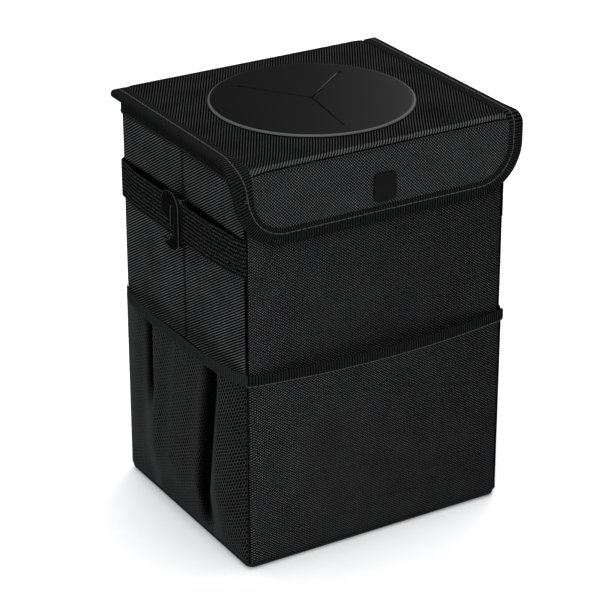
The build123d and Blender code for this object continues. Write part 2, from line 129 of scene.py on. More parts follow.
class Graph:
    """A principled material under construction."""

    def __init__(self, name, roughness, specular=0.0, sheen=0.0):
        self.material = bpy.data.materials.new(name)
        self.material.use_nodes = True
        self.tree = self.material.node_tree
        self.shader = self.tree.nodes["Principled BSDF"]
        self.fill(self.shader, {"Roughness": roughness, "Specular IOR Level": specular})
        self.fill(self.shader, {"Sheen Weight": sheen, "Sheen Roughness": 0.5})

    def fill(self, node, inputs):
        """Give a node its inputs, by name or number, as values or as links."""
        for key, value in dict(inputs).items():
            if isinstance(value, bpy.types.NodeSocket):
                self.tree.links.new(value, node.inputs[key])
            else:
                node.inputs[key].default_value = value

    def node(self, kind, inputs=(), **values):
        made = self.tree.nodes.new(kind)
        for key, value in values.items():
            setattr(made, key, value)
        self.fill(made, inputs)
        return made

    def math(self, operation, a, b=0.0, c=0.0):
        return self.node("ShaderNodeMath", enumerate((a, b, c)), operation=operation).outputs[0]

    def times(self, a, b):
        return self.math("MULTIPLY", a, b)

    def less(self, a, b):
        return self.math("SUBTRACT", a, b)

    def line(self, value, slope, start):
        """Straight line: start plus slope times a value."""
        return self.math("MULTIPLY_ADD", value, slope, start)

    def parts_of(self, place):
        return self.node("ShaderNodeSeparateXYZ", {0: place}).outputs

    def cloth_place(self):
        """Place on the cloth in millimetres: along it, across it, and both."""
        uv = self.node("ShaderNodeUVMap", uv_map="cloth").outputs[0]
        return *self.parts_of(uv)[:2], uv

    def object_place(self):
        """Place in the object's own frame, in metres."""
        return self.node("ShaderNodeTexCoord").outputs["Object"]

    def wave(self, place, pitch):
        """Ridges between 0 and 1 at a pitch."""
        return self.line(self.math("SINE", self.times(place, 2 * pi / pitch)), 0.5, 0.5)

    def ease(self, value, first, last, low=0.0):
        """Smooth step of a value, from low at first to 1 at last."""
        inputs = enumerate((value, first, last, low, 1.0))
        return self.node("ShaderNodeMapRange", inputs, interpolation_type="SMOOTHSTEP").outputs[0]

    def noise(self, place, scale, detail=2.0, roughness=0.5):
        inputs = {"Vector": place, "Scale": scale, "Detail": detail, "Roughness": roughness}
        return self.node("ShaderNodeTexNoise", inputs).outputs[0]

    def colour(self, value, low, high, at=(0.0, 1.0)):
        """Base colour from dark to light grey with a value."""
        ramp = self.node("ShaderNodeValToRGB", {0: value})
        for stop, place, grey in zip(ramp.color_ramp.elements, at, (low, high)):
            stop.position = place
            stop.color = (grey * 0.985, grey, grey * 1.02, 1)
        self.fill(self.shader, {"Base Color": ramp.outputs[0]})

    def bump(self, height, depth):
        """Relief from a height between 0 and 1, with its depth in millimetres."""
        relief = self.node("ShaderNodeBump", {"Strength": 1.0, "Distance": depth * MM, "Height": height})
        self.fill(self.shader, {"Normal": relief.outputs[0]})


def woven(
    name, low, high, at, main, cross, share, wobble=0.4, rough=0.4,
    seams=None, pocket=None, strap=None, crease=None, fall=None,
):
    """Woven nylon with two sets of diagonal ridges, main and cross, by their periods along and up the cloth.

    share says how much the second set breaks up the first, wobble how unevenly the threads lie and rough how
    much their thickness varies. Shade is painted into the cloth's colour: where it turns into its end seams,
    below a pocket's hem, as a shadow just above a strap and along a crease; fall is a painted fall-off of
    light, the run over which the cloth darkens, and by how much.
    """
    g = Graph(name, 0.85)
    u, v, uv = g.cloth_place()
    drift = g.times(g.noise(uv, 0.12), wobble)

    def ridges(periods):
        along = g.math("DIVIDE", u, periods[0])
        across = g.math("DIVIDE", g.math("ADD", v, drift), periods[1])
        return g.wave(g.math("ADD", along, across), 1.0)

    height = g.times(ridges(main), g.line(ridges(cross), share, 1 - share))
    height = g.times(height, g.line(g.noise(uv, 1.5, 3), 2 * rough, 1 - rough))
    shade = g.times(height, g.line(g.noise(uv, 0.05), 0.6, 0.7))
    # Painted shade where the cloth turns into its end seams
    if seams:
        length, first, last = seams
        shade = g.times(shade, g.ease(g.math("MINIMUM", u, g.less(length, u)), first, last, 0.15))
    # Painted shade on the wall below a pocket's hem, behind the net
    if pocket:
        shade = g.times(shade, g.line(g.math("GREATER_THAN", v, pocket), 0.9, 0.1))
    # Painted shadow just above a strap
    if strap:
        below = g.math("LESS_THAN", v, strap - 4.0)
        shade = g.times(shade, g.math("MAXIMUM", below, g.ease(v, strap, strap + 1.8, 0.05)))
    # Painted shade along a crease
    if crease:
        shade = g.times(shade, g.ease(g.math("ABSOLUTE", g.less(u, crease)), 0.0, 2.6, 0.68))
    # Painted fall-off of light: lighter at the start of the cloth's run, darker at its end
    if fall:
        run, loss = fall
        shade = g.times(shade, g.line(u, -loss / run, 1 + loss / 2))
    g.colour(shade, low, high, at)
    g.bump(height, 0.4)
    return g.material


def tape_cloth(name, low, high, pitch, depth):
    """Binding or elastic with fine, uneven ribs across its length."""
    g = Graph(name, 0.85)
    u, v, uv = g.cloth_place()
    height = g.times(g.line(g.wave(v, 0.9), 0.35, 0.65), g.wave(u, pitch))
    height = g.times(height, g.line(g.noise(uv, 2.0, 3), 1.8, 0.1))
    g.colour(height, low, high, (0.1, 0.9))
    g.bump(height, depth)
    return g.material


def web_cloth(name, low, high):
    """Woven webbing: cords along its length, bound by a fine cross weave."""
    g = Graph(name, 0.8)
    u, v, uv = g.cloth_place()
    bind = g.wave(g.math("ADD", u, g.times(v, 0.5)), 1.3)
    height = g.line(bind, 0.5, g.times(g.wave(v, 2.4), 0.5))
    height = g.times(height, g.line(g.noise(uv, 1.1, 3), 3.6, -0.8))
    g.colour(height, low, high, (0.46, 0.94))
    g.bump(height, 0.35)
    return g.material


def grained(name, surface, fine, greys, depth, at=(0.3, 0.7), broad=None, share=0.0, cloth=False):
    """A fine grain, alone or on broad patches: fine and broad are noises, and share is the patches' part."""
    g = Graph(name, *surface)
    place = g.cloth_place()[2] if cloth else g.object_place()
    grain = shade = g.noise(place, *fine)
    if broad:
        shade = g.line(g.noise(place, *broad), share, g.times(grain, 1 - share))
    g.colour(shade, *greys, at)
    g.bump(grain, depth)
    return g.material


def moulded(name, grey, roughness, specular, grain=900, depth=0.02):
    """Moulded plastic or rubber with a fine grain and slight unevenness."""
    greys = (grey * 0.86, grey * 1.14)
    return grained(name, (roughness, specular), (grain, 3), greys, depth, broad=(22, 2), share=0.7)


def net_yarn(name, grey):
    """Knitted yarn, with painted shade where the net folds."""
    g = Graph(name, 0.8)
    place = g.object_place()
    y, z = (g.math("DIVIDE", part, MM) for part in g.parts_of(place)[1:3])
    (front_fold, _), (rear_fold, _) = MESH_FOLDS
    lean = g.times(g.math("MAXIMUM", g.less(LEAN_TOP, z), 0.0), FOLD_LEAN / LEAN_RUN)

    def painted_fold_shade(offset, spread, start, rise):
        square = g.math("POWER", g.math("DIVIDE", g.math("ABSOLUTE", offset), spread), 2.0)
        return g.times(g.math("EXPONENT", g.times(square, -1.0)), g.ease(z, start, start + rise))

    # Painted shade down the front and rear folds
    front = painted_fold_shade(g.less(g.less(y, front_fold + 2.2), lean), 5.6, 4.0, 14.0)
    rear = painted_fold_shade(g.less(y, rear_fold + 1.6), 4.2, 52.0, 25.0)
    bright = g.less(1.0, g.math("MINIMUM", g.math("ADD", front, rear), 0.97))
    fibre = g.noise(place, 1600, 3)
    g.colour(g.times(g.line(fibre, 0.6, 0.7), bright), 0.0005, grey)
    g.bump(fibre, 0.03)
    return g.material


SIDE_RUN, FRONT_RUN = (2 * (half - CORNER) + CORNER * pi / 2 for half in (HALF_DEPTH, HALF_WIDTH))
LID_RIBS = ((1.74, -2.9), (2.1, 1.9), 0.15)
FRONT_WEAVE = ((2.1, -1.58), (2.2, 1.55), 0.92, 1.3, 2.0)
LID_CLOTH = woven("lid_ribs", 0.0004, 0.03, (0.43, 0.93), *LID_RIBS)
# Lit and dark copies of the lid's ribs: a painted highlight at the front fold and painted shade under the
# crease
LID_FOLD_HIGHLIGHT = woven("lid_fold_highlight_ribs", 0.0004, 0.09, (0.3, 0.95), *LID_RIBS)
FOLD_SHADE = woven("fold_shade", 0.0003, 0.004, (0.3, 0.95), *LID_RIBS)
# Side cloth with painted shade in its end seams, below the pockets' hems and along its crease, and a painted
# shadow just above the strap
SIDE_CLOTH = woven(
    "side_ribs", 0.0004, 0.094, (0.45, 0.93), (2.75, -1.66), (1.6, 2.3), 0.15,
    seams=(SIDE_RUN, 0.3, 2.0), pocket=HEM_FOOT, strap=STRAP_TOP, crease=SIDE_RUN / 2,
)
# Front cloth with painted shade in its end seams and a painted fall-off of light along its run
FRONT_CLOTH = woven(
    "front_twill", 0.001, 0.082, (0.13, 0.8), *FRONT_WEAVE,
    seams=(FRONT_RUN - 2.2, 0.2, 1.4), fall=(FRONT_RUN, 0.4),
)
BASE_CLOTH = woven("base_twill", 0.001, 0.072, (0.08, 0.8), *FRONT_WEAVE)
FLAP_CLOTH = woven("flap_weave", 0.001, 0.1, (0.06, 0.85), (1.8, -1.72), (1.76, 1.74), 0.9, 1.3, 0.9)
LINING = woven("lining_weave", 0.005, 0.03, (0.1, 0.9), (1.2, 1.2), (1.2, -1.2), 0.6)
TAPE_CLOTH = tape_cloth("binding", 0.0008, 0.018, 1.6, 0.22)
ELASTIC = tape_cloth("elastic_ribs", 0.01, 0.022, 1.5, 0.2)
WEB = web_cloth("webbing_weave", 0.0004, 0.04)
NET = net_yarn("net_yarn", 0.034)
THREAD = ((0.7, 0.1), (2600, 2))
STITCH = grained("stitch_thread", *THREAD, (0.042, 0.072), 0.05)
DARK_STITCH = grained("dark_thread", *THREAD, (0.014, 0.024), 0.05)
HOOK = moulded("hook_moulding", 0.0035, 0.5, 0.0)
# Lighter plastic for the hooks' rounded edges: a painted highlight
HOOK_HIGHLIGHT = moulded("hook_edge_highlight", 0.07, 0.4, 0.2)
RUBBER = moulded("valve_rubber", 0.0028, 0.4, 0.009, 1500, 0.01)
# Lighter rubber for the valve's bevel and one slit wall: a painted highlight
RUBBER_HIGHLIGHT = moulded("valve_edge_highlight", 0.065, 0.6, 0.05, 1500, 0.01)
TAB = moulded("tab_rubber", 0.0025, 0.6, 0.06, 700, 0.06)
CLAMP = moulded("clamp_moulding", 0.012, 0.45, 0.3)
BOARD = grained("board_fibre", (0.85, 0.2), (420, 4), (0.06, 0.13), 0.08)
FILM = grained(
    "liner_film", (0.42, 0.4), (0.9, 2), (0.012, 0.024), 0.12, broad=(0.04, 2), share=0.6, cloth=True
)
LOOPS, HOOKS = (
    grained(name, (0.9, 0.1, 0.3), (scale, 4, 0.65), (0.004, 0.03), depth, (0.35, 0.7), cloth=True)
    for name, scale, depth in (("loop_pile", 1.6, 0.5), ("hook_pile", 2.4, 0.4))
)

# Mesh building


def placed(name, data):
    """A new object in the scene."""
    obj = bpy.data.objects.new(name, data)
    bpy.context.scene.collection.objects.link(obj)
    return obj


def modify(obj, name, kind, **values):
    """Add a modifier with its values."""
    made = obj.modifiers.new(name, kind)
    for key, value in values.items():
        setattr(made, key, value)


def build(name, points, faces, uvs, materials, indices=None):
    """A smooth mesh object from points in millimetres; uvs are given per point, also in millimetres."""
    mesh = bpy.data.meshes.new(name)
    mesh.from_pydata([tuple(p) for p in np.asarray(points, float) * MM], [], [tuple(f) for f in faces])
    obj = placed(name, mesh)
    corners = np.empty(len(mesh.loops), int)
    mesh.loops.foreach_get("vertex_index", corners)
    mesh.uv_layers.new(name="cloth").data.foreach_set("uv", np.asarray(uvs, float)[corners].ravel())
    for material in materials:
        mesh.materials.append(material)
    if indices is not None:
        mesh.polygons.foreach_set("material_index", indices)
    mesh.polygons.foreach_set("use_smooth", [True] * len(mesh.polygons))
    mesh.set_sharp_from_angle(angle=radians(48))
    mesh.update()
    return obj


def join_parts(parts):
    """Points, faces, uvs and material indices of several parts of one mesh."""
    points, faces, uvs, indices = [], [], [], []
    for part_points, part_faces, part_uvs, index in parts:
        start = len(points)
        points.extend(map(tuple, part_points))
        uvs.extend(map(tuple, part_uvs))
        faces.extend([tuple(i + start for i in f) for f in part_faces])
        indices.extend([index] * len(part_faces) if np.isscalar(index) else index)
    return points, faces, uvs, indices


def finish_piece(name, parts, materials, nodes, body="bin"):
    """Join a piece's parts, put it on its body and let it stand for CAD nodes."""
    points, faces, uvs, indices = join_parts(parts)
    obj = build(name, points, faces, uvs, materials, indices)
    if body:
        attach(obj, body)
    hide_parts(*nodes)
    return obj


def slab_part(outer, inner, uv, keep=None, index=0):
    """A closed slab between two grids of points; index may be a grid of the cells' material indices."""
    rows, columns = outer.shape[:2]
    points = np.concatenate([outer.reshape(-1, 3), inner.reshape(-1, 3)])
    uvs = np.concatenate([uv.reshape(-1, 2)] * 2)
    if keep is None:
        keep = np.ones((rows - 1, columns - 1), bool)
    shift = rows * columns
    faces, indices = [], []
    for i, j in np.argwhere(keep):
        a, b = i * columns + j, (i + 1) * columns + j
        c, d = b + 1, a + 1
        new = [(a, b, c, d), (a + shift, d + shift, c + shift, b + shift)]
        for p, q, n, m in ((a, b, i, j - 1), (b, c, i + 1, j), (c, d, i, j + 1), (d, a, i - 1, j)):
            if not (0 <= n < rows - 1 and 0 <= m < columns - 1 and keep[n, m]):
                new.append((p, p + shift, q + shift, q))
        faces.extend(new)
        indices.extend([index if np.isscalar(index) else int(index[i, j])] * len(new))
    used = sorted({k for f in faces for k in f})
    place = {k: n for n, k in enumerate(used)}
    return points[used], [tuple(place[k] for k in f) for f in faces], uvs[used], indices


def shell_part(outer, uv, thickness, keep=None, index=0):
    """A sheet of cloth from a grid of its outer face, thickened inwards."""
    normal = np.cross(np.gradient(outer, axis=0), np.gradient(outer, axis=1))
    normal /= np.linalg.norm(normal, axis=2, keepdims=True) + 1e-12
    return slab_part(outer, outer - normal * thickness, uv, keep, index)


def sweep_part(path, section, index=0, closed=False):
    """A closed section carried along (point, a, b) frames; section(i) gives its (a, b) corners at step i."""
    points, uvs, faces = [], [], []
    count, size = len(path), len(section(0))
    runs = run_along([point for point, _, _ in path])
    for i, (point, a, b) in enumerate(path):
        corners = section(i)
        for (p, q), around in zip(corners, run_along(corners)):
            points.append(point + a * p + b * q)
            uvs.append((runs[i], around))
    for i in range(count if closed else count - 1):
        here, ahead = i * size, (i + 1) % count * size
        for k in range(size):
            m = (k + 1) % size
            faces.append((here + k, here + m, ahead + m, ahead + k))
    if not closed:
        faces.append(tuple(range(size))[::-1])
        faces.append(tuple((count - 1) * size + k for k in range(size)))
    return points, faces, uvs, index


STITCH_RISE = ((-0.5, -0.3), (-0.36, 0.05), (-0.12, 0.14), (0.12, 0.14), (0.36, 0.05), (0.5, -0.3))


def stitch_part(line, normals, pitch=3.5, length=3.3, radius=0.24):
    """A row of stitches along a line on a surface: each rises from one needle hole and goes down the next."""
    line, normals = np.asarray(line, float), np.asarray(normals, float)
    run = run_along(line)
    ring = arc((0, 0), radius, 0, 300, 5)[0]

    def at(distance, values):
        return np.array([np.interp(distance, run, values[:, k]) for k in range(3)])

    stitches = []
    for number in range(int(run[-1] / pitch)):
        path = []
        for share, lift in STITCH_RISE:
            spot = (number + 0.5) * pitch + share * length
            normal = at(spot, normals)
            normal /= np.linalg.norm(normal)
            ahead = at(spot + 0.2, line) - at(spot - 0.2, line)
            side = np.cross(normal, ahead / np.linalg.norm(ahead))
            path.append((at(spot, line) + normal * lift, side, normal))
        stitches.append(sweep_part(path, lambda i: ring, 1))
    return join_parts(stitches)


def upright_path(plan, z, a, outward):
    """Sweep frames along a plan at one height."""
    return [(np.array([*p, z]), a, np.array([*n, 0.0])) for p, n in zip(plan, outward)]


def row_beside(path, inward, out):
    """A row of stitches beside a path: so far in along a, and so far out along b."""
    return stitch_part([p + a * inward + b * out for p, a, b in path], [b for _, _, b in path])


def both_faces(face):
    """A closed section from its outer half: the half, and its mirror image back."""
    return face + [(a, -b) for a, b in face[::-1]]


def tape_section(half, leg, tape, rounding=6):
    """Section of tape folded over an edge: a is the way in from the edge and b the way out of its face."""
    outer_half = half + tape
    bend = min(outer_half, TAPE_BEND)
    outer = [(leg, half + 0.05), (leg - 0.3, outer_half - 0.25), (leg - 1.0, outer_half)]
    outer += [(leg * 0.6, outer_half), *arc((bend - tape, outer_half - bend), bend, 90, 90, rounding)[0]]
    inner_bend = max(bend - tape, 0.1)
    inner = [(leg, -half + 0.02), (inner_bend, -half + 0.02), (0.02, -half + inner_bend)]
    return both_faces(outer) + both_faces(inner)


# Walls


def wall_path(out, half, fold, step=2.4):
    """Plan of a wall that faces left, corner to corner: points, outward directions and run.

    out is how far out the wall stands, half its half width and fold the depth of its middle crease.
    """
    end, tilt = half - CORNER, np.arctan(fold / half)
    centre = fold * (1 - end / half) - (out - CORNER)
    places = np.linspace(end, -end, int(2 * end / step) // 2 * 2 + 1)[1:-1]
    flat = [(fold * (1 - abs(place) / half) - out, place) for place in places]
    ways = [(-cos(tilt), sin(tilt) * np.sign(place)) for place in places]
    first, last = arc((centre, end), CORNER, 135, 45, 6), arc((centre, -end), CORNER, 180, 45, 6)
    points = np.array(first[0] + flat + last[0])
    return points, np.array(first[1] + ways + last[1]), run_along(points)


LEFT_PATH = wall_path(HALF_WIDTH, HALF_DEPTH, SIDE_FOLD)
*front_plan, front_run = wall_path(HALF_DEPTH, HALF_WIDTH, 0)
FRONT_PATH = (*(np.column_stack([-p[:, 1], p[:, 0]]) for p in front_plan), front_run)


def seam_pull(s, z, length):
    """How far cloth on a wall is drawn into the seams at its ends and foot, from 0 to 1."""
    return 1 - smooth(np.minimum(np.minimum(s, length - s), (z - SEAM_Z) * 1.2) / 1.6)


def wall_part(path, s, z, out, thickness, turned=False):
    """Cloth along a wall's path, so far out of it; turned is for the wall on the far side of the box."""
    plan, normals, _ = path
    outer = np.concatenate([plan[:, None] + normals[:, None] * out[..., None], z[..., None]], -1)
    return shell_part(outer * ((-1, -1, 1) if turned else 1), np.stack([s, z], -1), thickness)


def wall_sheet(side, material):
    """One outer wall: slightly uneven over its boards, pulled in at its seams and along a side's crease."""
    front, turned = side in ("front", "back"), side in ("back", "right")
    path = FRONT_PATH if front else LEFT_PATH
    run = path[2]
    heights = [SEAM_Z, SEAM_Z + 0.5, SEAM_Z + 1.2, *np.linspace(SEAM_Z + 2.4, WALL_TOP - 0.2, 92)]
    s, z = np.meshgrid(run, heights, indexing="ij")
    inward = 0.03 + 0.25 * ripple(s, z, 1.3 if front else 2.9) + 0.55 * seam_pull(s, z, run[-1])
    if not front:
        inward = inward + 0.35 * np.exp(-(((s - run[-1] / 2) / 1.1) ** 2))
    part = wall_part(path, s, z, -inward, 0.45, turned)
    obj = finish_piece(f"{side}_cloth", [part], [material], [f"{side}_panel"])


for side in ("front", "back"):
    wall_sheet(side, FRONT_CLOTH)
for side in ("left", "right"):
    wall_sheet(side, SIDE_CLOTH)

# Base and liner


def outline(inset):
    """Closed plan of the base, moved in by an inset."""
    radius = max(CORNER - inset, 0.6)
    x, y = HALF_WIDTH - inset - radius, HALF_DEPTH - inset - radius
    centres = [(x, -y), (x, y), (-x, y), (-x, -y)]
    steps = np.linspace(0, 1, int(2 * HALF_WIDTH / 3) + 1)[1:-1]
    points = []
    for n, (centre, end) in enumerate(zip(centres, centres[1:] + centres[:1])):
        points += arc(centre, radius, 90 * n - 90, 90, 8)[0]
        points += [tuple(points[-1] + np.subtract(end, centre) * t) for t in steps]
    return points


def tray_part(profile, floor_z, thickness):
    """A tray: loops at (inset, z) stations, then rings that close its floor."""
    loops = [np.array([(*p, z) for p in outline(inset)]) for inset, z in profile]
    loops += [loops[-1] * (share, share, 0) + (0, 0, floor_z) for share in (0.8, 0.6, 0.4, 0.2, 0.04)]
    grid = np.array(loops)
    grid = np.concatenate([grid, grid[:, :1]], axis=1)
    uv = np.stack(np.meshgrid(run_along(grid[0]), run_along(grid[:, 0])), -1)
    uv[len(profile):] = grid[len(profile):, :, :2]
    return shell_part(grid, uv, thickness)


def edge_round(radius, inset, floor_z, count):
    """Stations of a tray's rounded lower edge, from its side to its floor."""
    turns = np.linspace(0, pi / 2, count)
    return [(inset + radius * (1 - cos(t)), floor_z + radius * (1 - sin(t))) for t in turns]


base_profile = [(0.75, SEAM_Z), (0.3, SEAM_Z - 0.5), (0.1, SEAM_Z - 1.1)]
base_profile += [*edge_round(2.9, 0, 0.02, 7), (8, 0.05)]
base_part = tray_part(base_profile, 0.25, 0.55)
base = finish_piece("base_cloth", [base_part], [BASE_CLOTH], ["base_panel"])

LINER_IN, LINER_FLOOR = 3.06, 3.6
liner_profile = [(LINER_IN, z) for z in np.linspace(WALL_TOP - 0.1, 8, 60)]
liner_profile += edge_round(3.5, LINER_IN, LINER_FLOOR, 5)
liner_points, *liner_rest = tray_part(liner_profile, LINER_FLOOR, -0.3)
x, y, z = liner_points.T.copy()
slack = 0.5 * ripple(x + 1.3 * y, z, 4.2)
on_side, on_end = np.abs(x) > HALF_WIDTH - 9, np.abs(y) > HALF_DEPTH - 9
liner_points[:, 0] -= np.sign(x) * np.where(on_side, SIDE_FOLD * (1 - np.abs(y) / HALF_DEPTH) + slack, 0)
liner_points[:, 1] -= np.sign(y) * np.where(on_end, slack, 0)
liner = finish_piece("liner_bag", [(liner_points, *liner_rest)], [FILM], ["liner"])

# Tape over the rim of the mouth

RIM_TAPE = TAPE * 0.94
mouth, mouth_out = (np.concatenate([FRONT_PATH[n], -LEFT_PATH[n][1:-1]]) for n in (0, 1))
mouth, mouth_out = (np.concatenate([half, -half]) for half in (mouth, mouth_out))
rim_path = upright_path(mouth - mouth_out * WALL_STACK / 2, WALL_TOP, DOWN, mouth_out)
rim_section = tape_section(WALL_STACK / 2, WALL_TOP - RIM_FOOT, RIM_TAPE)
rim_row = row_beside(rim_path + rim_path[:1], 6.3, WALL_STACK / 2 + RIM_TAPE)
rim_parts = [sweep_part(rim_path, lambda i: rim_section, closed=True), rim_row]
rim = finish_piece("rim_tape", rim_parts, [TAPE_CLOTH, DARK_STITCH], ["rim_binding"])

# Lid and flap cover: one cloth that turns over the front fold

Q_FOLD = LID_REAR - LID_FRONT
FLAP_MORE = 2.4
FLAP_FLARE = 0.02
Q_END = Q_FOLD + LID_TOP - FLAP_BOTTOM + FLAP_MORE
FOLD_SHARP = 2.0
FOLD_TAPE = (8.0, 6.2)
FOLD_SIDE = (30.0, 6.2)
FOLD_EASE = 8.0


def past_tape(x):
    """How far the tape beside a place holds the fold: 0 in the middle of the cloth, 1 in the tape."""
    return smooth((np.abs(x) - (LID_HALF - TAPE_LEG) + FOLD_EASE) / FOLD_EASE)


def fold_radius(x):
    """The fold's radius: sharp in the middle; in the stiff tape a wide bend left and a tight one right."""
    tape, side = (np.where(x < 0, *pair) for pair in (FOLD_TAPE, FOLD_SIDE))
    radius = FOLD_SHARP + (tape - FOLD_SHARP) * past_tape(x)
    return radius + (side - tape) * np.clip((np.abs(x) - (LID_HALF - TAPE_LEG)) / TAPE_LEG, 0, 1)


def cover_turn(x, q):
    """Angle of the skin at a place on the cloth: 0 on the lid, a right angle on the flap."""
    return np.clip((q - Q_FOLD) / fold_radius(x) + 1, 0, 2) * pi / 4


def on_flap(q):
    """How far a place on the cloth has come over the fold: 0 on the lid, 1 on the flap."""
    return smooth((q - Q_FOLD + 20) / 30)


def cover_place(x, q, depth=0.0):
    """Point of the lid's and flap's skin, moved in by a depth.

    q runs from the lid's rear to the flap's foot; below zero it goes down the lid's rear edge.
    """
    r = fold_radius(x)
    past = q - Q_FOLD
    turn = cover_turn(x, q)
    over = np.clip(-q, 0, None)
    y = LID_FRONT + r - (r - depth) * np.sin(turn) + np.clip(-past - r, 0, None) - over
    z = LID_TOP - r + (r - depth) * np.cos(turn) - np.clip(past - r, 0, None) - over
    return np.stack([x * (1 + FLAP_FLARE * on_flap(q)), y, z], -1)


def flap_inside(x, q, margin=1.2):
    """Which places lie inside the flap's rounded lower corners."""
    across = np.abs(x) - (LID_HALF - FLAP_CORNER)
    down = q - (Q_END - FLAP_CORNER)
    return ~((across > 0) & (down > 0) & (np.hypot(across, down) > FLAP_CORNER - margin))


def cells(x, q):
    """Middles of a grid's cells."""
    return (x[:-1, :-1] + x[1:, 1:]) / 2, (q[:-1, :-1] + q[1:, 1:]) / 2


BEND_Q = Q_FOLD - 34
cover_q = [LID_BOTTOM - LID_TOP + 0.3, -3.0, -1.5, -0.5]
cover_q += [*np.linspace(0, BEND_Q, 56), *np.linspace(BEND_Q, Q_FOLD - 2.4, 20)[1:]]
cover_q += [*np.linspace(Q_FOLD - 2, Q_FOLD + 2, 11), *np.linspace(Q_FOLD + 2.3, Q_FOLD + 6.5, 14)]
cover_q += [*np.linspace(Q_FOLD + 7.2, Q_END - 0.3, 24)]
side_x = np.linspace(LID_HALF - 0.4, LID_HALF - 18, 20)
cover_x = np.concatenate([-side_x, np.linspace(-LID_HALF + 20, LID_HALF - 20, 70), side_x[::-1]])
gx, gq = np.meshgrid(cover_x, cover_q[::-1], indexing="ij")
past = gq - Q_FOLD
from_valve = smooth((np.hypot(gx, LID_REAR - gq) - VALVE_R) / 8)
dip = 0.35 * ripple(gx, LID_REAR - gq, 5.0) * from_valve * smooth(gq / 6) * smooth((-past - 3) / 6)
dip = dip + 0.3 * ripple(gx, gq, 6.6) * smooth((past - 8) / 6)
dip = dip + 0.75 * (1 - past_tape(gx)) * np.exp(-(((past - 3.7) / 0.75) ** 2))
mx, mq = cells(gx, gq)
keep = flap_inside(mx, mq) & ((np.hypot(mx, LID_REAR - mq) > LID_HOLE) | (mq > Q_FOLD - 1))

# Lid, flap, a painted highlight on the ribs at the crease and painted shade in the line under it
CREASE = Q_FOLD + 0.9
cover_index = np.where(mq < Q_FOLD - 4.6, 0, np.where(mq < CREASE, 2, 1))
cover_index[(mq > CREASE) & (mq < CREASE + 1.2) & (np.abs(mx) < LID_HALF - TAPE_LEG)] = 3
cover_part = shell_part(cover_place(gx, gq, dip), np.stack([gx, Q_END - gq], -1), 0.5, keep, cover_index)
cloths = [LID_CLOTH, FLAP_CLOTH, LID_FOLD_HIGHLIGHT, FOLD_SHADE]
cover = finish_piece("lid_cover", [cover_part], cloths, ["lid_panel", "flap_panel"], None)
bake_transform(cover)

# Binding tape round the lid's sides and the flap

HALF_LID = (LID_TOP - LID_BOTTOM) / 2
HALF_FLAP = (-LID_FRONT - FLAP_INNER) / 2
STITCH_IN = (4.2, 6.2)


def tape_frame(x, q, in_x, in_q):
    """Frame of the tape's edge: middle, way in, way out, half its thickness, its width and its seam."""
    turn = float(cover_turn(x, q))
    half = HALF_LID + (HALF_FLAP - HALF_LID) * turn / (pi / 2)
    place = cover_place(x, q, half)
    inner = cover_place(x + TAPE_LEG * in_x, q + TAPE_LEG * in_q, half)
    width = np.linalg.norm(inner - place)
    a = (inner - place) / width
    b = np.array([0, -sin(turn), cos(turn)])
    b = b - a * (a @ b)
    stitch = STITCH_IN[0] + (STITCH_IN[1] - STITCH_IN[0]) * float(on_flap(q))
    return place, a, b / np.linalg.norm(b), half, width, stitch * width / TAPE_LEG


def binding_left():
    """Places along the tape, from the lid's rear left corner to the middle of the flap's lower edge."""
    corner_q, corner_x = Q_END - FLAP_CORNER, -LID_HALF + FLAP_CORNER
    side_q = [*np.linspace(0, BEND_Q, 52), *np.linspace(BEND_Q, corner_q, 44)[1:]]
    steps = [(-LID_HALF, q, 1, 0) for q in side_q]
    bend = zip(*arc((corner_x, 0), FLAP_CORNER, 180, 90, 24))
    steps += [(x, corner_q - up, -c, s) for (x, up), (c, s) in bend][1:]
    return steps + [(x, Q_END, 0, -1) for x in np.linspace(corner_x, 0, 28)[1:]]


tape_steps = binding_left()
tape_steps += [(-x, q, -in_x, in_q) for x, q, in_x, in_q in reversed(tape_steps[:-1])]
tape_frames = [tape_frame(*step) for step in tape_steps]
tape_path = [f[:3] for f in tape_frames]
tape_parts = [sweep_part(tape_path, lambda i: tape_section(*tape_frames[i][3:5], TAPE))]
for face in (1, -1):
    row = [(p + a * stitch + b * face * (half + TAPE), b * face) for p, a, b, half, _, stitch in tape_frames]
    tape_parts.append(stitch_part(*zip(*row)))
nodes = ["lid_left_binding", "lid_right_binding", "flap_binding"]
binding = finish_piece("edge_tape", tape_parts, [TAPE_CLOTH, STITCH], nodes, None)
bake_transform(binding)

# Boards and linings of the lid and flap

STIFF = ("stiffener", "board", BOARD, "stiff_board", 86.5)
LINED = ("lining_cloth", "lining", LINING, "lining_fabric", LID_HALF - 0.5)
BOARD_IN, BEND_X, LINING_SLACK = 0.85, 71.0, 0.28


def inner_layer(body, kind, qs, thickness, depth, inside):
    """A board or lining: faces out where its q runs up the cloth, and in where it runs down."""
    name, node, material, slot, reach = kind
    gx, gq = np.meshgrid(np.linspace(-reach, reach, 70), qs, indexing="ij")
    place = cover_place(gx, gq, depth(gx, gq))
    part = shell_part(place, np.stack([gx, gq], -1), thickness, inside(*cells(gx, gq)))
    return finish_piece(f"{body}_{name}", [part], [material], [f"{body}_{node}"], body)


def lid_hole(x, q):
    return np.hypot(x, LID_REAR - q) > LID_HOLE + 0.1


def clear_of_bend(x, q):
    """Boards end where the sides of the fold begin to round."""
    return (np.abs(x) < BEND_X) | (np.abs(q - Q_FOLD) > FOLD_SIDE[0] + 3)


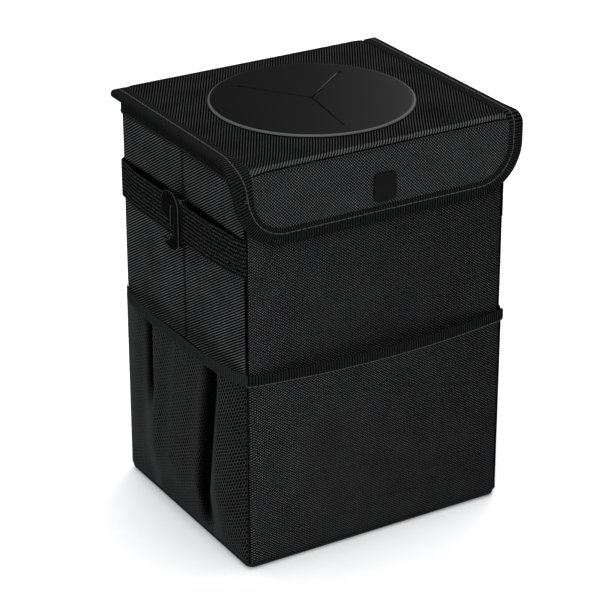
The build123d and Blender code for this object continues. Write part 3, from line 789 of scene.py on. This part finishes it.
inner_layer(
    "lid", STIFF, np.linspace(Q_FOLD - 5, 0.8, 60), 1.9, lambda x, q: BOARD_IN,
    lambda x, q: lid_hole(x, q) & clear_of_bend(x, q),
)
inner_layer(
    "flap", STIFF, np.linspace(Q_END - 1.2, Q_FOLD + 15, 20), 1.1, lambda x, q: BOARD_IN,
    lambda x, q: flap_inside(x, q, 2.2) & clear_of_bend(x, q),
)
lid_lining = inner_layer(
    "lid", LINED, np.linspace(0.2, Q_FOLD - 2.6, 60), 0.3,
    lambda x, q: 2 * HALF_LID - 0.02 - LINING_SLACK * ripple(x, LID_REAR - q, 7.7), lid_hole,
)
flap_lining = inner_layer(
    "flap", LINED, np.linspace(Q_FOLD + 4.4, Q_END - 0.5, 20), 0.3,
    lambda x, q: 2 * HALF_FLAP - 0.02 - LINING_SLACK * ripple(x, q, 8.1), flap_inside,
)

# Hook and loop patches


PATCH_SEAM = 1.6


def patch(name, node, body, material, facing):
    """A sewn patch: rounded edges, uneven pile, a row of stitches just inside its edge."""
    low, high = (np.array(c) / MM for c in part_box(node))
    seat = high[1] if facing < 0 else low[1]
    gx, gz = np.meshgrid(np.linspace(low[0], high[0], 50), np.linspace(low[2], high[2], 16), indexing="ij")
    edge = np.minimum(np.minimum(gx - low[0], high[0] - gx), np.minimum(gz - low[2], high[2] - gz))
    tuft = np.sin(gx * 2.9 + np.sin(gz * 1.7) * 2) + np.sin(gz * 3.1 + np.sin(gx * 1.3) * 2)
    lift = (0.5 + 0.075 * tuft) * smooth(edge / 2.0) + 0.1
    grid = np.stack([gx, seat + facing * lift, gz], -1)[::-facing]
    part = shell_part(grid, np.stack([gx, gz], -1)[::-facing], 0.09)
    (x, _, z), (far_x, _, far_z) = low + PATCH_SEAM, high - PATCH_SEAM
    ring = [(x, z), (far_x, z), (far_x, far_z), (x, far_z), (x, z)]
    row = stitch_part([(x, seat + facing * 0.5, z) for x, z in ring], [(0, facing, 0)] * 5, 3.0, 2.5, 0.2)
    obj = finish_piece(name, [part, row], [material, DARK_STITCH], [node], body)


patch("loop_pad", "loop_patch", "bin", LOOPS, -1)
patch("hook_pad", "hook_patch", "flap", HOOKS, 1)

# Hinge strip: a cloth strip on the back whose top edge is rolled on the hinge's axis

low, high = (np.array(c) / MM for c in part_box("lid_hinge_strip"))
roll = (high[1] - low[1]) / 2
axis_y, axis_z = (low[1] + high[1]) / 2, high[2] - roll
STRIP_HALF = high[0] + 0.45
STRIP_THICK = 0.72
STRIP_TAPER = 5.0
strip_end = STRIP_HALF - np.linspace(0, STRIP_TAPER, 7)
strip_xs = np.concatenate([-strip_end, np.linspace(-STRIP_HALF + 7, STRIP_HALF - 7, 56), strip_end[::-1]])


def strip_section(i):
    """Section of the strip: its roll thins out at both ends."""
    radius = 0.95 * roll * (0.3 + 0.7 * float(smooth((STRIP_HALF - abs(strip_xs[i])) / STRIP_TAPER)))
    side = [(-STRIP_THICK / 2, z) for z in (low[2] - axis_z, -9, -0.6)]
    return (side + arc((0, 0), radius, 230, -280, 14)[0] + [(-y, z) for y, z in side[::-1]])[::-1]


strip_path = [(np.array([x, axis_y + 0.04 * sin(x * 0.21), axis_z]), BACK, UP) for x in strip_xs]
strip_row = stitch_part([(x, axis_y + 0.38, low[2] + 2.5) for x in strip_xs], [BACK] * len(strip_xs))
strip_parts = [sweep_part(strip_path, strip_section), strip_row]
nodes = ["lid_hinge_strip"]
hinge_strip = finish_piece("hinge_strip_cloth", strip_parts, [TAPE_CLOTH, STITCH], nodes)

# Rubber valve: a disc with a bevelled edge in a lighter rubber as a painted highlight, a neck, and three
# leaves

JOIN_R = SLIT_REACH + SLIT_END
NECK_IN = NECK_R - NECK_WALL
RIM_STEPS = 360
LIGHT_EDGE = range(3, 6)
LIT_LEAF = 0
bevel = [(3.0, 0), (1.9, 0.03), (1.25, 0.14), (0.7, 0.36), (0.28, 0.7), (0.04, 1.1), (0, 1.3)]
profile = [(JOIN_R, SKIN_TOP), *((VALVE_R - inset, SKIN_TOP - drop) for inset, drop in bevel)]
profile += [(VALVE_R, LID_TOP + 0.25), (VALVE_R - 0.2, LID_TOP + 0.05), (NECK_R, LID_TOP + 0.05)]
profile += [(NECK_R, NECK_FOOT + 0.4), (NECK_R - 0.4, NECK_FOOT), (NECK_IN + 0.4, NECK_FOOT)]
profile += [(NECK_IN, NECK_FOOT + 0.4), (NECK_IN, LID_TOP - 0.5), (NECK_IN - 0.5, LID_TOP)]
profile += [(JOIN_R, LID_TOP)]
# Painted highlight: part of the bevel takes the lighter rubber
light = [int(k in LIGHT_EDGE) for k in range(len(profile))]
rim_turns = [-2 * pi * n / RIM_STEPS for n in range(RIM_STEPS)]
ring_path = [(np.zeros(3), np.array([cos(turn), sin(turn), 0]), UP) for turn in rim_turns]
ring_part = sweep_part(ring_path, lambda i: profile, light * RIM_STEPS, closed=True)
finish_piece("valve_rim", [ring_part], [RUBBER, RUBBER_HIGHLIGHT], ["valve_ring"], "lid")


def leaf(number):
    """A leaf and the skin behind its root, between the lid and the leaf's body."""
    start = SLIT_ANGLES[number]
    end = (*SLIT_ANGLES, SLIT_ANGLES[0] + 360)[number + 1]
    radii = [0.55, 1.2, 2.2, *np.arange(4, 44, 2.0), 43.6]
    radii += [SLIT_REACH - SLIT_END * cos(pi * k / 10) for k in range(1, 11)]
    shares = np.linspace(0, 1, int(end - start) + 1)
    top = np.full((len(radii), len(shares), 3), SKIN_TOP)
    for i, r in enumerate(radii):
        open_half = SLIT_HALF
        if r > SLIT_REACH - 0.8:
            open_half = sqrt(max(SLIT_END**2 - (r - SLIT_REACH) ** 2, 0))
        gap = min(np.degrees(asin(min(open_half / r, 0.95))), (end - start) / 2 - 2)
        angles = np.radians(start + gap + (end - start - 2 * gap) * shares)
        top[i, :, 0], top[i, :, 1] = r * np.cos(angles), r * np.sin(angles)
    bottom = top * (1, 1, 0) + (0, 0, LID_TOP + 0.02)
    points, faces, uvs, _ = slab_part(top, bottom, top[..., :2])
    rows, columns = top.shape[:2]
    # Painted highlight: one slit wall of the first leaf takes the lighter rubber
    edge = [(i * columns, (i + 1) * columns) for i in range(4, rows - 12) if number == LIT_LEAF]
    lit = {(a, b, b + 1, a + 1) for a, b in edge}
    shown = [int(face in lit) for face in faces]
    obj = build(f"valve_skin_{number + 1}", points, faces, uvs, [RUBBER, RUBBER_HIGHLIGHT], shown)
    below = rows * columns
    obj.data.polygons.foreach_set("use_smooth", [max(f) < below or min(f) >= below for f in faces])
    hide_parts(f"valve_leaf_{number + 1}")
    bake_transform(obj)


for number in range(3):
    leaf(number)

# Strap: webbing round the sides and back, sewn down at its front ends

KEEPER_REAR = 46.0
SEAM_SINK = 0.3
SEAM_THIN = 0.15
SEWN_RUN, FREE_RUN = 6.0, 32.0


def strap_half():
    """Left half of the strap's path in plan, with its share of the full thickness.

    It is thin in the front seam, stands off as far as the hook's keeper slides and lies close at the rear.
    """
    half = STRAP_THICK / 2
    end_x, side_x, back_y = HALF_WIDTH + half, STRAP_OUT - half, STRAP_BACK - half
    front, turn_r = -MESH_HALF, CORNER + half
    sewn, free, rear = front + SEWN_RUN, front + FREE_RUN, back_y - turn_r
    places = []
    for k in range(6):
        a = radians(224 - 44 * k / 6)
        seam_r = CORNER + SEAM_THIN * half - SEAM_SINK * (1 - k / 6)
        places.append((-HALF_WIDTH + CORNER + seam_r * cos(a), front + seam_r * sin(a), SEAM_THIN))
    for t in np.linspace(0, 1, 6):
        share = SEAM_THIN + (1 - SEAM_THIN) * smooth(t)
        places.append((-HALF_WIDTH - share * half, front + (sewn - front) * t, share))
    for t in np.linspace(0, 1, 9)[1:]:
        places.append((-(end_x + (side_x - end_x) * smooth(t)), sewn + (free - sewn) * t, 1.0))
    for y in np.linspace(free, rear, 44)[1:]:
        drawn = smooth((y - KEEPER_REAR) / (rear - KEEPER_REAR))
        places.append((-(side_x + (end_x - side_x) * drawn), y, 1.0))
    places += [(x, y, 1.0) for x, y in arc((turn_r - end_x, rear), turn_r, 180, -90, 8)[0][1:]]
    return places + [(x, back_y, 1.0) for x in np.linspace(turn_r - end_x, 0, 34)[1:]]


def plan_ways(plan):
    """Directions square to a line in plan, to its left."""
    ahead = np.gradient(plan, axis=0)
    ahead /= np.linalg.norm(ahead, axis=1, keepdims=True)
    return np.column_stack([-ahead[:, 1], ahead[:, 0]])


strap_left = strap_half()
strap_places = np.array(strap_left + [(-x, y, share) for x, y, share in reversed(strap_left[:-1])])
strap_plan = strap_places[:, :2]
strap_path = upright_path(strap_plan, STRAP_TOP - STRAP_HALF, UP, plan_ways(strap_plan))
strap_cords = np.linspace(-STRAP_HALF, STRAP_HALF, 23)[1:-1]
strap_face = [(-STRAP_HALF, 0.25), (-STRAP_HALF + 0.4, 0.58)]
strap_face += [(a, 0.62 + 0.08 * cos(a * pi)) for a in strap_cords]
strap_face += [(STRAP_HALF - 0.4, 0.58), (STRAP_HALF, 0.25)]
strap_profile = both_faces(strap_face)
strap_part = sweep_part(strap_path, lambda i: [(a, b * strap_places[i, 2]) for a, b in strap_profile])
strap = finish_piece("strap_webbing", [strap_part], [WEB], ["strap"])

# Mesh pockets: a net gathered on an elastic hem, with two deep folds


def mesh_out(y, z, hem):
    """How far the net, or its hem, stands off the wall."""
    fade = 1 - np.abs(y / MESH_HALF) ** 4
    (front_fold, front_depth), (rear_fold, rear_depth) = MESH_FOLDS
    lean = front_fold + FOLD_LEAN * np.clip((LEAN_TOP - z) / LEAN_RUN, 0, 1)
    valley = front_depth * np.exp(-(((y - lean) / 4.2) ** 2)) * smooth((z - 5) / 14)
    valley = valley + rear_depth * np.exp(-(((y - rear_fold) / 3.4) ** 2)) * smooth((z - 52) / 26)
    valley = valley * (1 - np.abs(y / MESH_HALF) ** 6)
    if hem:
        out = MESH_BULGE * fade - 0.1 * valley
    else:
        out = MESH_BULGE * fade * smooth((z - SEAM_Z) / (MESH_BELLY - SEAM_Z)) - valley
        out = out + 0.55 * np.sin(y * 0.21 + z * 0.03) * smooth((z - 10) / 30) * fade
    return np.clip(out, 0.05, MESH_BULGE)


def end_share(s):
    """How much of its full stand-off a pocket's side has: little in the corner seams."""
    return 0.25 + 0.75 * smooth((MESH_REACH - np.abs(s)) / 7)


def side_plan(s, out):
    """Plan of a pocket's side: straight along the wall, then round its corners into the seams."""
    turn = np.clip(np.abs(s) - MESH_HALF, 0, None) / CORNER
    x = MESH_SEAM + (CORNER + out) * np.cos(turn) - CORNER
    y = np.clip(s, -MESH_HALF, MESH_HALF) + np.sign(s) * (CORNER + out) * np.sin(turn)
    return x, y


HEM_FOLDS_Z = 112.0
YARN = 0.72
CELL, ROW_STEP, NET_SLOPE = 2.2, 2.1, 0.5
CELL_CORNERS = ((0, 2), (1, 1), (1, -1), (0, -2), (-1, -1), (-1, 1))


def mesh_pocket(name, node, side):
    """The net itself: hexagonal cells drawn out as yarn."""
    low_z, high_z = SEAM_Z + 0.4, HEM_FOOT + 1.0
    points, index, faces = [], {}, []
    steps = np.linspace(-MESH_REACH, MESH_REACH, 700)
    dense = np.ones_like(steps)
    for (fold, _), extra in zip(MESH_FOLDS, (1.6, 1.4)):
        dense += extra * np.exp(-(((steps - fold - 3) / 4.0) ** 2))
    slack = np.concatenate([[0], np.cumsum((dense[1:] + dense[:-1]) / 2 * np.diff(steps))])

    def vertex(u, v):
        key = (round(u, 3), round(v, 3))
        if key not in index:
            index[key] = len(points)
            s = float(np.interp(u, slack, steps))
            z = min(max(v - NET_SLOPE * s, low_z), high_z)
            x, y = side_plan(s, 0.4 * end_share(s) + mesh_out(s, z, False))
            points.append((side * x, y, z))
        return index[key]

    first_v, last_v = low_z - NET_SLOPE * MESH_REACH, high_z + NET_SLOPE * MESH_REACH
    for row in range(int((last_v - first_v) / ROW_STEP) + 1):
        v = first_v + row * ROW_STEP
        for u in np.arange(CELL / 2 * (row % 2), slack[-1] + 0.01, CELL):
            ring = [vertex(u + i * CELL / 2, v + j * ROW_STEP / 3) for i, j in CELL_CORNERS]
            ring = [p for n, p in enumerate(ring) if p not in ring[:n]]
            heights = [points[p][2] for p in ring]
            if len(ring) > 2 and max(heights) - min(heights) > 0.3:
                faces.append(ring[::side])
    net = build(name, points, faces, [(p[1], p[2]) for p in points], [NET])
    modify(net, "yarn", "WIREFRAME", thickness=YARN * MM, use_even_offset=False)
    drawn = bpy.data.meshes.new_from_object(net.evaluated_get(bpy.context.evaluated_depsgraph_get()))
    net.modifiers.clear()
    net.data = drawn
    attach(net, "bin")
    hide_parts(node)
    return net


def elastic_hem(name, node, side):
    """The elastic band along a net's top edge, slightly puckered."""
    run = np.linspace(MESH_REACH, -MESH_REACH, 126) * -side
    gather = 0.16 * np.sin(run * 1.45) * smooth((MESH_HALF - np.abs(run)) / 8)
    out = np.clip(mesh_out(run, np.full_like(run, HEM_FOLDS_Z), True) + gather, 0, MESH_BULGE)
    thick = end_share(run)
    xs, ys = side_plan(run, 0.62 * thick + out)
    plan = np.column_stack([side * xs, ys])
    outward = plan_ways(plan)
    outward *= np.sign(outward[:, :1] * side)
    half = (POCKET_TOP - HEM_FOOT) / 2
    path = upright_path(plan, (POCKET_TOP + HEM_FOOT) / 2, UP, outward)
    face = [(-half, 0.2), (-half + 0.3, 0.5), (-half + 1.0, 0.62), (-1.5, 0.55), (0, 0.62), (1.5, 0.55)]
    face += [(half - 1.0, 0.62), (half - 0.3, 0.5), (half, 0.2)]
    section = both_faces(face)[::-side]
    row = [p + b * 0.6 * share + a * (-half + 1.2) for (p, a, b), share in zip(path, thick)]
    parts = [sweep_part(path, lambda i: [(a, b * thick[i]) for a, b in section])]
    parts.append(stitch_part(row, [b for _, _, b in path], 2.6, 2.2, 0.16))
    return finish_piece(name, parts, [ELASTIC, DARK_STITCH], [node])


for side_name, side in (("left", -1), ("right", 1)):
    hem = elastic_hem(f"{side_name}_hem", f"{side_name}_pocket_elastic", side)
    net = mesh_pocket(f"{side_name}_net", f"{side_name}_mesh_pocket", side)

# Front pocket: a slack sheet with a taped top edge


def pocket_out(x, z):
    """How far the front pocket's inner face stands off the wall."""
    across = np.clip(1 - (x / (HALF_WIDTH - CORNER)) ** 2, 0, 1)
    rise = np.clip((z - SEAM_Z) / (HEM_FOOT - SEAM_Z), 0, 1)
    crumple = 0.35 * np.sin(x * 0.07 + z * 0.05) * np.sin(z * 0.045 + 1.0) * across
    crumple = crumple * smooth(rise * 3) * smooth((0.97 - rise) * 6)
    return np.clip(POCKET_BULGE * across * rise**1.2 + crumple, 0, POCKET_BULGE)


HEM_TAPE = TAPE * 0.95
plan, normals, run = FRONT_PATH
pocket_z = [SEAM_Z, SEAM_Z + 0.6, SEAM_Z + 1.4, *np.linspace(SEAM_Z + 3, POCKET_TOP - 0.9, 46)]
s, z = np.meshgrid(run, pocket_z, indexing="ij")
stand = POCKET_SEAM + FABRIC - 0.05 + pocket_out(plan[:, :1], z) - 0.5 * seam_pull(s, z, run[-1])
pocket_part = wall_part(FRONT_PATH, s, z, stand, 0.6)
pocket = finish_piece("pocket_cloth", [pocket_part], [FRONT_CLOTH], ["front_pocket"])
stand = POCKET_SEAM + FABRIC / 2 + pocket_out(plan[:, 0], POCKET_TOP)
hem_path = upright_path(plan + normals * stand[:, None], POCKET_TOP - TAPE, DOWN, normals)
hem_section = tape_section(FABRIC / 2, POCKET_TOP - TAPE - HEM_FOOT, HEM_TAPE, 4)
hem_parts = [sweep_part(hem_path, lambda i: hem_section), row_beside(hem_path, 5.4, FABRIC / 2 + HEM_TAPE)]
nodes = ["front_pocket_binding"]
pocket_hem = finish_piece("pocket_tape", hem_parts, [TAPE_CLOTH, STITCH], nodes)

# Pieces that keep their CAD shape


def dress(node, material, bevel=0.0, highlight_material=None):
    """Give a CAD node its material, and round its edges, which may take a lighter material as a painted
    highlight.
    """
    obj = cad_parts[node]
    obj.data.materials.clear()
    for given in (material, highlight_material) if highlight_material else (material,):
        obj.data.materials.append(given)
    if bevel:
        modify(obj, "joined_faces", "WELD", merge_threshold=0.001 * MM)
        modify(
            obj, "soft_edges", "BEVEL", width=bevel * MM, segments=3, limit_method="ANGLE",
            angle_limit=radians(35), harden_normals=True, material=1 if highlight_material else -1,
        )


# The hooks' rounded edges take the lighter plastic, a painted highlight
for node in ("left_strap_hook", "right_strap_hook"):
    dress(node, HOOK, 0.45, HOOK_HIGHLIGHT)
dress("valve_clamp", CLAMP, 0.4)
dress("flap_tab", TAB, 0.35)
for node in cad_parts:
    if node.endswith("_board") and node not in ("lid_board", "flap_board"):
        dress(node, BOARD)

# Stage, light and camera

FLOOR_HALF = 6
floor_mesh = bpy.data.meshes.new("floor")
floor_corners = [(x * FLOOR_HALF, y * FLOOR_HALF, 0) for x, y in ((-1, -1), (1, -1), (1, 1), (-1, 1))]
floor_mesh.from_pydata(floor_corners, [], [(0, 1, 2, 3)])
ground = Graph("pale_floor", 0.9, 0.1)
ground.colour(ground.noise(ground.object_place(), 60), 0.93, 0.95, (0.3, 0.7))
floor_mesh.materials.append(ground.material)
placed("floor", floor_mesh)

world = bpy.data.worlds.new("studio")
bpy.context.scene.world = world
world.use_nodes = True
background = world.node_tree.nodes["Background"]
background.inputs["Color"].default_value = (1, 1, 1, 1)
background.inputs["Strength"].default_value = 0.22


def area_light(name, place, target, size, power):
    data = bpy.data.lights.new(name, "AREA")
    data.energy = power
    data.shape = "RECTANGLE"
    data.size, data.size_y = size
    lamp = placed(name, data)
    lamp.location = place
    lamp.rotation_euler = (Vector(target) - Vector(place)).to_track_quat("-Z", "Y").to_euler()


area_light("key", (-1.3, -1.5, 1.7), (0, 0, 0.12), (1.0, 1.0), 40)
area_light("top", (0.2, 0.1, 1.9), (0, 0, 0.1), (1.6, 1.6), 40)
area_light("rear", (0.9, 0.8, 0.75), (0.05, 0, 0.24), (0.5, 0.4), 5)

AZIMUTH, ELEVATION, ROLL = radians(-30.962), radians(24.938), radians(-0.083)
FOCAL_PX, PICTURE_PX, SENSOR = 2459.3, 600, 36
TARGET = Vector((0, 0, 120))
CAMERA_SHIFT = (6.67, 1.87, 1414.1)
back = Vector((sin(AZIMUTH) * cos(ELEVATION), -cos(AZIMUTH) * cos(ELEVATION), sin(ELEVATION)))
level = Vector((cos(AZIMUTH), sin(AZIMUTH), 0))
upward = back.cross(level)
right, up = level * cos(ROLL) + upward * sin(ROLL), upward * cos(ROLL) - level * sin(ROLL)
eye = TARGET + back * CAMERA_SHIFT[2] - right * CAMERA_SHIFT[0] - up * CAMERA_SHIFT[1]
camera_data = bpy.data.cameras.new("camera")
camera_data.sensor_width = SENSOR
camera_data.lens = FOCAL_PX / PICTURE_PX * SENSOR
camera = placed("camera", camera_data)
camera.matrix_world = Matrix.Translation(eye * MM) @ Matrix((right, up, back)).transposed().to_4x4()
bpy.context.scene.camera = camera
bpy.context.scene.view_settings.view_transform = "Standard"
